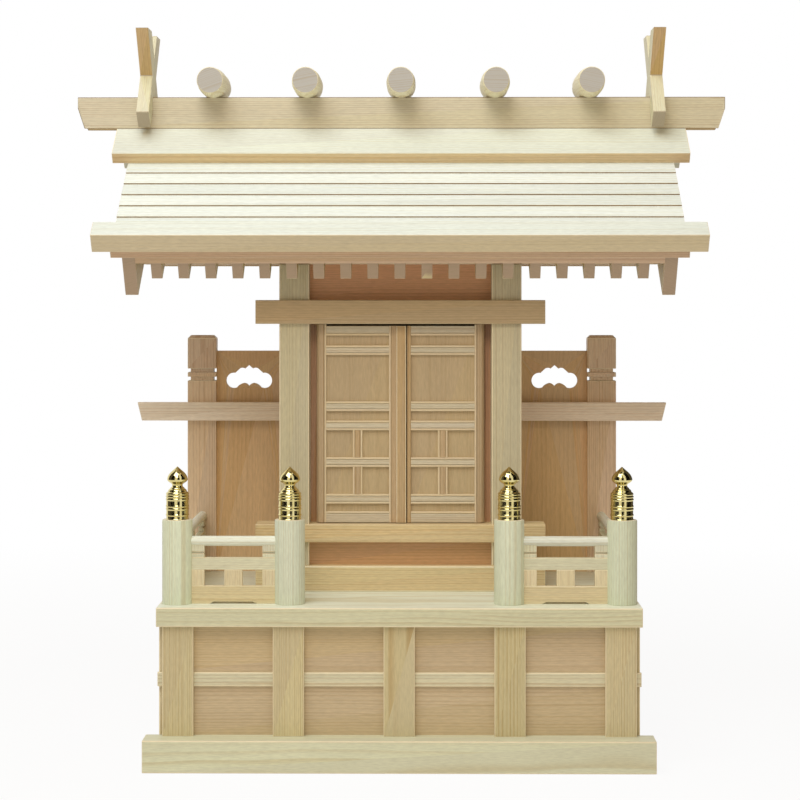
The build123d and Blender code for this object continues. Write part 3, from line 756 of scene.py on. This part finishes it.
    def build_boards(self) -> None:
        """Pierced boards between the posts, and along the sides to the screens."""
        finishes = [
            PlanedCypress(PALING, Grain.ALONG_X, 1.9, 0.5, 2.0),
            PlanedCypress(PALING, Grain.UPRIGHT, 1.7, 0.5, 1.2),
            PlanedCypress(PALING_FOOT, Grain.ALONG_X, 1.9, 0.5, 2.0),
            PlanedCypress(PALING_FOOT, Grain.UPRIGHT, 1.7, 0.5, 1.2),
        ]
        front = Draft()
        inner = self.post_x[0] + self.post_radius - self.board_bite
        length = self.post_x[1] - self.post_radius + self.board_bite - inner
        face = (self.post_y - self.board_thick / 2, self.post_y + self.board_thick / 2)
        for start in (inner, -inner - length):
            self.board(front, "x", start, length, 1, face)
        front.piece(
            "front_rail_boards_jointed", finishes, "shrine", ["front_rail_boards"], 0.3
        )
        side = Draft()
        side_finishes = [
            replace(finish, grain=Grain.ALONG_Y) if finish.grain is Grain.ALONG_X else finish
            for finish in finishes
        ]
        near = self.post_y + self.post_radius - self.board_bite
        for x in (-self.post_x[1], self.post_x[1]):
            face = (x - self.board_thick / 2, x + self.board_thick / 2)
            self.board(side, "y", near, self.screen_front_y - near, 2, face)
        side.piece(
            "side_rail_boards_jointed", side_finishes, "shrine", ["side_rail_boards"], 0.3
        )

    def build_top_rails(self) -> None:
        """Round rails let into the posts."""
        draft = Draft()
        inner = self.post_x[0] + self.post_radius - self.rail_bite
        outer = self.post_x[1] - self.post_radius + self.rail_bite
        near = self.post_y + self.post_radius - self.rail_bite
        front = [(self.rail_radius, 0.0), (self.rail_radius, outer - inner)]
        side = [(self.rail_radius, 0.0), (self.rail_radius, self.screen_front_y - near)]
        for start in (inner, -outer):
            draft.turned(front, (start, self.post_y, self.rail_z), "x", 48, 0)
        for x in (-self.post_x[1], self.post_x[1]):
            draft.turned(side, (x, near, self.rail_z), "y", 48, 1)
        finishes = [PlanedCypress(TOP_RAIL, grain, 1.6, 0.48) for grain in (Grain.ALONG_X, Grain.ALONG_Y)]
        draft.piece("top_rails_turned", finishes, "shrine", ["top_rails"])


@dataclass
class Chamber:
    """Columns, sills, beams and boarded walls."""

    frieze_from: float = 250.0

    def dress(self) -> None:
        """Give each timber the grain it was cut with."""
        dress(PlanedCypress(SILL, Grain.ALONG_X, 2.3, 0.58, 3.0), ["sill_beam", "ground_sill"])
        dress(PlanedCypress(HEAD_BEAM, Grain.ALONG_X, 1.9, 0.58, 1.6), ["head_beam"])
        dress(PlanedCypress(COLUMN, Grain.UPRIGHT, 2.0, 0.58, 1.0), ["columns"])
        infill = PlanedCypress(INFILL, Grain.ALONG_X, 1.9, 0.48)
        # the infill above the doors takes the warmer copy: painted warm shade under the eaves
        dress(
            infill, ["infill_panels"], 0, replace(infill, tone=FRIEZE_WARM_SHADE),
            lambda centre, normal: centre.z > self.frieze_from,
        )
        wall = PlanedCypress(SCREEN_PANEL, Grain.UPRIGHT, 2.2, 0.56)
        dress(wall, ["side_walls", "back_wall"], 0)
        dress(replace(wall, grain=Grain.ALONG_X), ["sanctuary_floor"], 0)
        dress(PlanedCypress(JAMB, Grain.UPRIGHT, 1.9, 0.56), ["door_jambs"], 0.3)


@dataclass
class Doors:
    """Two framed leaves on turned pins, their rails and stiles worked with a small bead."""

    front_y: float = PLINTH_FRONT + 112.0
    thick: float = 8.0
    low: float = 176.5
    foot_rail: float = 8.8
    high: float = 334.5
    stile_top: float = 335.7
    pin_low: float = 170.9
    pin_high: float = 341.2
    pin_radius: float = 2.0
    pivot_x: float = 63.6
    meeting_x: float = 5.0
    meeting_gap: float = 0.7
    outer_stile_x: float = 59.6
    rail: float = 7.7
    bays: tuple[float, ...] = (6.3, 21.8, 21.8, 7.7, 37.4, 8.0)
    lattice_bays: tuple[int, ...] = (1, 2)
    muntin: float = 7.8
    bead: float = 1.5
    quirk: float = 0.5
    quirk_depth: float = 0.8
    bead_lap: float = 0.1
    groove_lap: float = 0.4
    arris: float = 0.3
    round_steps: int = 24
    stile_finish: PlanedCypress = PlanedCypress(DOOR_STILE, Grain.UPRIGHT, 1.7, 0.58, 1.0, (30.0, 44.0))

    def section(self, low: float, high: float) -> list[Point]:
        """Section of a bar as high as the leaf is thick, with its two front edges eased."""
        front, back = self.front_y, self.front_y + self.thick
        return [
            (low, back), (low, front + self.arris), (low + self.arris, front),
            (high - self.arris, front), (high, front + self.arris), (high, back),
        ]

    def moulded(self, draft: Draft, low: float, high: float, beads: tuple[bool, bool], axis: str,
                span: Span, finish: int) -> None:
        """Add a bar with a bead worked along either front edge.

        Args:
            draft: The leaf's frame.
            low: The bar's lower face across the grain.
            high: Its upper face.
            beads: Whether the lower and the upper edge carry a bead.
            axis: x for a rail, z for a stile.
            span: Where it starts and ends on that axis.
            finish: Index of its finish; the beads take the one two places on, a paler copy that paints a
                highlight on them.
        """
        step = self.bead + self.quirk
        bottom = (self.front_y + self.quirk_depth, self.front_y + self.thick)
        parts = [(self.section(low + step * beads[0], high - step * beads[1]), finish)]
        for worked, edge, way in ((beads[0], low, 1), (beads[1], high, -1)):
            if worked:
                limits = sorted((edge, edge + way * self.bead))
                groove = sorted((
                    edge + way * (self.bead - self.bead_lap),
                    edge + way * (step + self.groove_lap),
                ))
                parts.append((self.section(limits[0], limits[1]), finish + 2))
                parts.append(([(groove[0], bottom[1]), (groove[0], bottom[0]),
                               (groove[1], bottom[0]), (groove[1], bottom[1])], finish))
        for outline, index in parts:
            turned = [(y, a) for a, y in outline] if axis == "x" else outline
            draft.prism(turned, axis, span, index)

    def leaf(self, side: int, inner: float, inner_stile: float, name: str) -> None:
        """Build one leaf's frame in place of its CAD node.

        Args:
            side: -1 for the left leaf, 1 for the right one.
            inner: X of the leaf's meeting edge.
            inner_stile: Width of the stile there.
            name: Name of the leaf's body.
        """
        draft = Draft()
        level, upright = 0, 1
        pane = sorted((side * self.outer_stile_x, inner + side * inner_stile))
        pane_span = (pane[0], pane[1])
        radius = self.thick / 2
        start = self.outer_stile_x + self.bead + self.quirk
        outline = [
            (side * start, self.front_y + self.thick),
            (side * start, self.front_y + self.arris),
            (side * (start + self.arris), self.front_y),
        ]
        for step in range(self.round_steps + 1):
            angle = -math.pi / 2 + math.pi * step / self.round_steps
            outline.append((
                side * (self.pivot_x + radius * math.cos(angle)),
                self.front_y + radius + radius * math.sin(angle),
            ))
        draft.prism(outline, "z", (self.low, self.stile_top), upright)
        worked = sorted((side * self.outer_stile_x, side * (start + self.groove_lap)))
        beads = (side > 0, side < 0)
        self.moulded(draft, worked[0], worked[1], beads, "z", (self.low, self.stile_top), upright)
        for low, high in ((self.pin_low, self.low), (self.stile_top, self.pin_high)):
            pin = [(self.pin_radius, low), (self.pin_radius, high)]
            draft.turned(pin, (side * self.pivot_x, self.front_y + radius, 0), "z", 32, upright)
        meeting = sorted((inner, inner + side * inner_stile))
        beads = (side < 0, False)
        self.moulded(draft, meeting[0], meeting[1], beads, "z", (self.low, self.high), upright)
        z = self.low
        for index in range(len(self.bays) + 1):
            edges = (index > 0, index < len(self.bays))
            height = self.rail if index else self.foot_rail
            self.moulded(draft, z, z + height, edges, "x", pane_span, level)
            z += height
            if index in self.lattice_bays:
                middle = sum(pane) / 2
                bar = (middle - self.muntin / 2, middle + self.muntin / 2)
                self.moulded(draft, bar[0], bar[1], (True, True), "z", (z, z + self.bays[index]), upright)
            if index < len(self.bays):
                z += self.bays[index]
        finishes = [
            # the rails' paler tone: painted light
            PlanedCypress(DOOR_RAIL_PAINTED_LIGHT, Grain.ALONG_X, 1.7, 0.58, 1.4, (30.0, 44.0)),
            self.stile_finish,
            # the beads' paler tone: painted highlight
            PlanedCypress(BEAD_PAINTED_HIGHLIGHT, Grain.ALONG_X, 1.7, 0.3),
            PlanedCypress(BEAD_PAINTED_HIGHLIGHT, Grain.UPRIGHT, 1.7, 0.3),
        ]
        draft.piece(f"{name}_frame_joinery", finishes, name, [f"{name}_frame"])

    def build(self) -> None:
        """Build both leaves and dress the nodes that stay."""
        self.leaf(-1, self.meeting_x - self.meeting_gap / 2, 13.8, "door_left")
        self.leaf(1, self.meeting_x + self.meeting_gap / 2, 3.1, "door_right")
        dress(self.stile_finish, ["door_left_cover_strip"], 0.3)
        panel = PlanedCypress(DOOR_PANEL, Grain.UPRIGHT, 2.2, 0.22, 2.4)
        dress(panel, ["door_left_panel", "door_right_panel"], 0)


@dataclass
class Screens:
    """Side screens with grooved posts and a cloud-shaped opening."""

    def dress(self) -> None:
        """Give each timber the grain it was cut with."""
        dress(PlanedCypress(SCREEN_POST, Grain.UPRIGHT, 1.9, 0.58, 1.0), ["screen_posts"])
        dress(PlanedCypress(SCREEN_PANEL, Grain.UPRIGHT, 2.6, 0.26, 3.0), ["screen_panels"], 0)
        dress(PlanedCypress(SCREEN_RAIL, Grain.ALONG_X, 1.9, 0.48), ["screen_rails"])


def down_the_slope(centre: Vector, normal: Vector) -> bool:
    """Whether a face on either slope of the roof is a board's lower edge."""
    side = 1.0 if centre.y > RIDGE_Y else -1.0
    return normal.dot(Vector((0.0, side * math.cos(PITCH), -math.sin(PITCH)))) > 0.8


@dataclass
class Roof:
    """Rafters, sheathing, lapped boards, eaves and barge boards."""

    def dress(self) -> None:
        """Give each timber the grain it was cut with."""
        # the boards' faces down the slope take the dark edge tone: painted shade along each course
        edge = PlanedCypress(PAINTED_SHADE_EDGE, Grain.ALONG_X, 1.9, 0.64)
        dress(
            PlanedCypress(ROOF_BOARD, Grain.ALONG_X, 2.4, 0.40, 4.0),
            ["roof_boards_front", "roof_boards_back"],
            0.12,
            edge,
            down_the_slope,
        )
        eave = PlanedCypress(EAVE, Grain.ALONG_X, 1.9, 0.45, 1.6)
        # the eave bars' faces down the slope take the darker copy: painted shade
        dress(eave, ["eave_bars"], 0.4, replace(eave, tone=EAVE_FRONT_PAINTED_SHADE), down_the_slope)
        dress(PlanedCypress(BATTEN, Grain.ALONG_X, 2.2, 0.75, 4.0), ["eave_battens"])
        plank = PlanedCypress(BATTEN, Grain.ALONG_X, 1.9, 0.48)
        dress(plank, ["roof_sheathing_front", "roof_sheathing_back"], 0)
        dress(plank, ["purlins"])
        dress(PlanedCypress(RAFTER, Grain.UP_THE_SLOPE, 1.8, 0.58, 1.0), ["rafters"], 0.3)
        barge = PlanedCypress(RAFTER, Grain.UP_THE_SLOPE, 2.3, 0.64, 2.0)
        dress(barge, ["barge_boards_front", "barge_boards_back"])


@dataclass
class Ridge:
    """Cover boards, ridge beam, turned logs and forked finials."""

    log_x_pitch: float = 77.8
    log_count: int = 5
    log_z: float = 534.5
    log_half: float = 38.0
    end_radius: float = 10.7
    belly_radius: float = 12.0
    belly_half: float = 15.0
    log_arris: float = 0.5
    log_steps: int = 24

    def build(self) -> None:
        """Build the logs and dress the rest."""
        draft = Draft()
        arris, steps = self.log_arris, self.log_steps
        outline = [(self.end_radius - arris, -self.log_half)]
        for step in range(steps + 1):
            along = -self.log_half + arris + (2 * self.log_half - 2 * arris) * step / steps
            run = max(abs(along) - self.belly_half, 0.0) / (self.log_half - self.belly_half)
            fall = run * run * (3 - 2 * run) if run < 1 else 1.0
            outline.append((self.belly_radius - (self.belly_radius - self.end_radius) * fall, along))
        outline.append((self.end_radius - arris, self.log_half))
        for index in range(self.log_count):
            x = (index - (self.log_count - 1) / 2) * self.log_x_pitch
            draft.turned(outline, (x, RIDGE_Y, self.log_z), "y", 96)
        finish = PlanedCypress(LOG, Grain.ALONG_Y, 1.7, 0.58, 1.0, (30.0, 24.0))
        draft.piece("ridge_logs_turned", [finish], "shrine", ["ridge_logs"], crease=40)
        # the covers' faces down the slope and the beam's underside take a darker, warmer copy: painted shade
        painted_shade_copy = PlanedCypress(COVER_PAINTED_SHADE, Grain.ALONG_X, 1.9, 0.64)
        dress(
            PlanedCypress(COVER_FACE, Grain.ALONG_X, 2.4, 0.48, 4.0),
            ["ridge_covers_front", "ridge_covers_back"],
            0.4,
            painted_shade_copy,
            down_the_slope,
        )
        # the beam's arrises take the dark edge tone: a painted shadow line along the beam
        dress(
            PlanedCypress(RIDGE_BEAM, Grain.ALONG_X, 1.9, 0.54, 2.0, edge=PAINTED_SHADE_EDGE),
            ["ridge_beam"],
            0.45,
            painted_shade_copy,
            lambda centre, normal: normal.z < -0.7,
        )
        fork = PlanedCypress(FORK, Grain.CROSSED_ARMS, 1.8, 0.5, 1.2)
        # the arms' downward faces take the darker, warmer copy: painted shade
        dress(
            fork,
            ["forked_finials"],
            0.4,
            replace(fork, tone=FORK_UNDER_PAINTED_SHADE),
            lambda centre, normal: abs(normal.y) > 0.3 and normal.z < -0.3,
        )


@dataclass
class Studio:
    """Pale floor, one soft lamp above and to the left, white surroundings, and the camera."""

    picture_px: float = 800.0
    mm_per_px: float = 0.75
    camera_distance: float = 1.575
    eye_height: float = 0.3593
    horizon_px: float = 295.0
    centre_px: float = 398.95
    yaw_deg: float = 0.6
    sensor_mm: float = 36.0
    lamp_azimuth_deg: float = 28.0
    lamp_elevation_deg: float = 60.0
    lamp_distance: float = 1.5
    lamp_size: float = 0.95
    lamp_watts: float = 11.5
    lamp_colour: str = "#F8FDFF"
    front_azimuth_deg: float = 5.0
    front_elevation_deg: float = 40.0
    front_watts: float = 9.5
    front_size: float = 0.75
    front_distance: float = 2.2
    aim: tuple[float, float, float] = (0.0, -0.03, 0.28)
    fill_colour: str = "#FFEBD0"
    fill_strength: float = 0.46
    floor_half: float = 6.0
    floor_paper: tuple[float, float, float, float] = (0.85, 0.85, 0.85, 1.0)
    shadow_radius: float = 0.5
    glow_radius: float = 1.4
    near_glow: float = 0.92
    flag_distance: float = 1.3
    flag_foot: float = 0.002
    flag_width_deg: int = 2
    flag_rise_deg: int = 10
    crown_width_deg: int = 20
    crown_foot_deg: int = 76
    black_flags: tuple[tuple[int, int, int], ...] = ((-66, -28, 50), (-2, 16, 70), (50, 92, 70))
    grey_flags: tuple[tuple[int, int, int], ...] = (
        (-104, -66, 70), (16, 24, 40), (44, 50, 40), (92, 160, 70)
    )
    cloths: tuple[tuple[str, float, float], ...] = (("black_cloth", 0.004, 0.012), ("grey_cloth", 0.11, 0.17))

    def build(self) -> None:
        """Build the floor, lights and camera."""
        self.build_floor()
        self.build_lamp(
            "softbox", self.lamp_azimuth_deg, self.lamp_elevation_deg, self.lamp_distance,
            self.lamp_size, self.lamp_watts, self.lamp_colour,
        )
        self.build_lamp(
            "front_reflector", self.front_azimuth_deg, self.front_elevation_deg, self.front_distance,
            self.front_size, self.front_watts, self.fill_colour,
        )
        self.build_flags()
        self.build_world()
        self.build_camera()

    def build_floor(self) -> None:
        """Matt white sweep that stays white behind the object and keeps its soft shadow."""
        mesh = bpy.data.meshes.new("floor")
        half = self.floor_half
        corners = [(-half, -half, 0), (half, -half, 0), (half, half, 0), (-half, half, 0)]
        mesh.from_pydata(corners, [], [(0, 1, 2, 3)])
        floor = new_object("floor", mesh)
        material = new_material("matt_white_floor")
        tree = material.node_tree
        paper = add(tree, "BsdfDiffuse", {"Color": self.floor_paper})
        glow = add(tree, "Emission", {"Color": (1, 1, 1, 1), "Strength": 1.0})
        away = shift(tree, "LENGTH", add(tree, "TexCoord").outputs["Object"])
        # seen from far out the sweep only glows white; near the object a share of lit paper is left,
        # and that share shows the shadow
        reach = add(
            tree,
            "MapRange",
            {
                "Value": away,
                "From Min": self.shadow_radius,
                "From Max": self.glow_radius,
                "To Min": self.near_glow,
                "To Max": 1.0,
            },
        )
        share = compute(tree, "MULTIPLY", seen_rays(tree), reach.outputs["Result"])
        mixed = add(tree, "MixShader", {0: share, 1: paper.outputs[0], 2: glow.outputs[0]})
        add(tree, "OutputMaterial", {"Surface": mixed.outputs[0]})
        mesh.materials.append(material)

    def build_lamp(self, name: str, azimuth_deg: float, elevation_deg: float, distance: float, size: float,
                   watts: float, colour: str) -> None:
        """Add a square soft lamp, aimed at the middle of the shrine.

        Args:
            name: Name of the lamp.
            azimuth_deg: Its direction, leftward of straight in front.
            elevation_deg: Its direction above level.
            distance: Its distance in metres.
            size: Width of its square in metres.
            watts: Its power.
            colour: Its colour in sRGB hex.
        """
        azimuth, elevation = math.radians(azimuth_deg), math.radians(elevation_deg)
        away = Vector((
            -math.sin(azimuth) * math.cos(elevation),
            -math.cos(azimuth) * math.cos(elevation),
            math.sin(elevation),
        ))
        light = bpy.data.lights.new(name, "AREA")
        light.shape = "SQUARE"
        light.size = size
        light.energy = watts
        light.color = linear(colour)[:3]
        lamp = new_object(name, light)
        lamp.location = Vector(self.aim) + away * distance
        lamp.rotation_euler = away.to_track_quat("Z", "Y").to_euler()

    def around(self, azimuth_deg: float, elevation_deg: float) -> tuple[float, float, float]:
        """A point of the cloths' dome, from its azimuth rightward of the front and its elevation."""
        azimuth, elevation = math.radians(azimuth_deg), math.radians(elevation_deg)
        reach = self.flag_distance * math.cos(elevation)
        return (
            reach * math.sin(azimuth),
            -reach * math.cos(azimuth),
            self.flag_distance * math.sin(elevation) + self.flag_foot,
        )

    def build_flags(self) -> None:
        """Black and grey cloths around the set, which only mirror-bright metal shows."""
        mesh = bpy.data.meshes.new("flags")
        points, faces, shades = [], [], []
        foot, width, rise = self.crown_foot_deg, self.flag_width_deg, self.flag_rise_deg
        for azimuth in range(-180, 180, self.crown_width_deg):
            start = len(points)
            ends = (azimuth, azimuth + self.crown_width_deg)
            points.extend([self.around(ends[0], foot), self.around(ends[1], foot), self.around(0, 90)])
            faces.append((start, start + 1, start + 2))
            shades.append(1)
        for shade, bands in enumerate((self.black_flags, self.grey_flags)):
            for first, last, top in bands:
                for azimuth in range(first, last, width):
                    for elevation in range(0, top, rise):
                        start = len(points)
                        for a, e in ((0, 0), (width, 0), (width, rise), (0, rise)):
                            points.append(self.around(azimuth + a, elevation + e))
                        faces.append((start, start + 1, start + 2, start + 3))
                        shades.append(shade)
        mesh.from_pydata(points, [], faces)
        mesh.polygons.foreach_set("material_index", shades)
        for name, darkest, palest in self.cloths:
            material = new_material(name)
            tree = material.node_tree
            nap = add(tree, "TexNoise", {"Scale": 300.0})
            shade = rescale(tree, nap.outputs["Fac"], darkest, palest)
            cloth = add(tree, "BsdfDiffuse", {"Color": shade})
            add(tree, "OutputMaterial", {"Surface": cloth.outputs[0]})
            mesh.materials.append(material)
        flags = new_object("flags", mesh)
        for sight in ("camera", "diffuse", "shadow", "transmission"):
            setattr(flags, "visible_" + sight, False)

    def build_world(self) -> None:
        """White surroundings: full white where they are seen or mirrored, and a plain fill elsewhere."""
        world = bpy.data.worlds.new("studio")
        bpy.context.scene.world = world
        world.use_nodes = True
        tree = world.node_tree
        tree.nodes.clear()
        seen = seen_rays(tree)
        colour = blend(tree, seen, linear(self.fill_colour), (1, 1, 1, 1))
        level = rescale(tree, seen, self.fill_strength, 1.0)
        sky = add(tree, "Background", {"Color": colour, "Strength": level})
        add(tree, "OutputWorld", {"Surface": sky.outputs[0]})

    def build_camera(self) -> None:
        """Level camera in front, a little to the right, as the photograph was taken."""
        data = bpy.data.cameras.new("camera")
        data.sensor_width = self.sensor_mm
        data.lens = self.sensor_mm * self.camera_distance / (self.picture_px * self.mm_per_px * MM)
        data.shift_y = (self.horizon_px - self.picture_px / 2) / self.picture_px
        camera = new_object("camera", data)
        yaw = math.radians(self.yaw_deg)
        camera.location = (
            self.camera_distance * math.sin(yaw),
            PLINTH_FRONT * MM - self.camera_distance * math.cos(yaw),
            self.eye_height,
        )
        off_centre = (self.picture_px / 2 - self.centre_px) * self.mm_per_px * MM / self.camera_distance
        camera.rotation_euler = (math.pi / 2, 0, yaw - off_centre)
        bpy.context.scene.camera = camera
        bpy.context.scene.view_settings.view_transform = "Standard"


def main() -> None:
    """Build and dress the shrine from the shelf up, then light it."""
    Base().dress()
    Railing().build()
    Chamber().dress()
    Doors().build()
    Screens().dress()
    Roof().dress()
    Ridge().build()
    Studio().build()


if __name__ == "__main__":
    main()
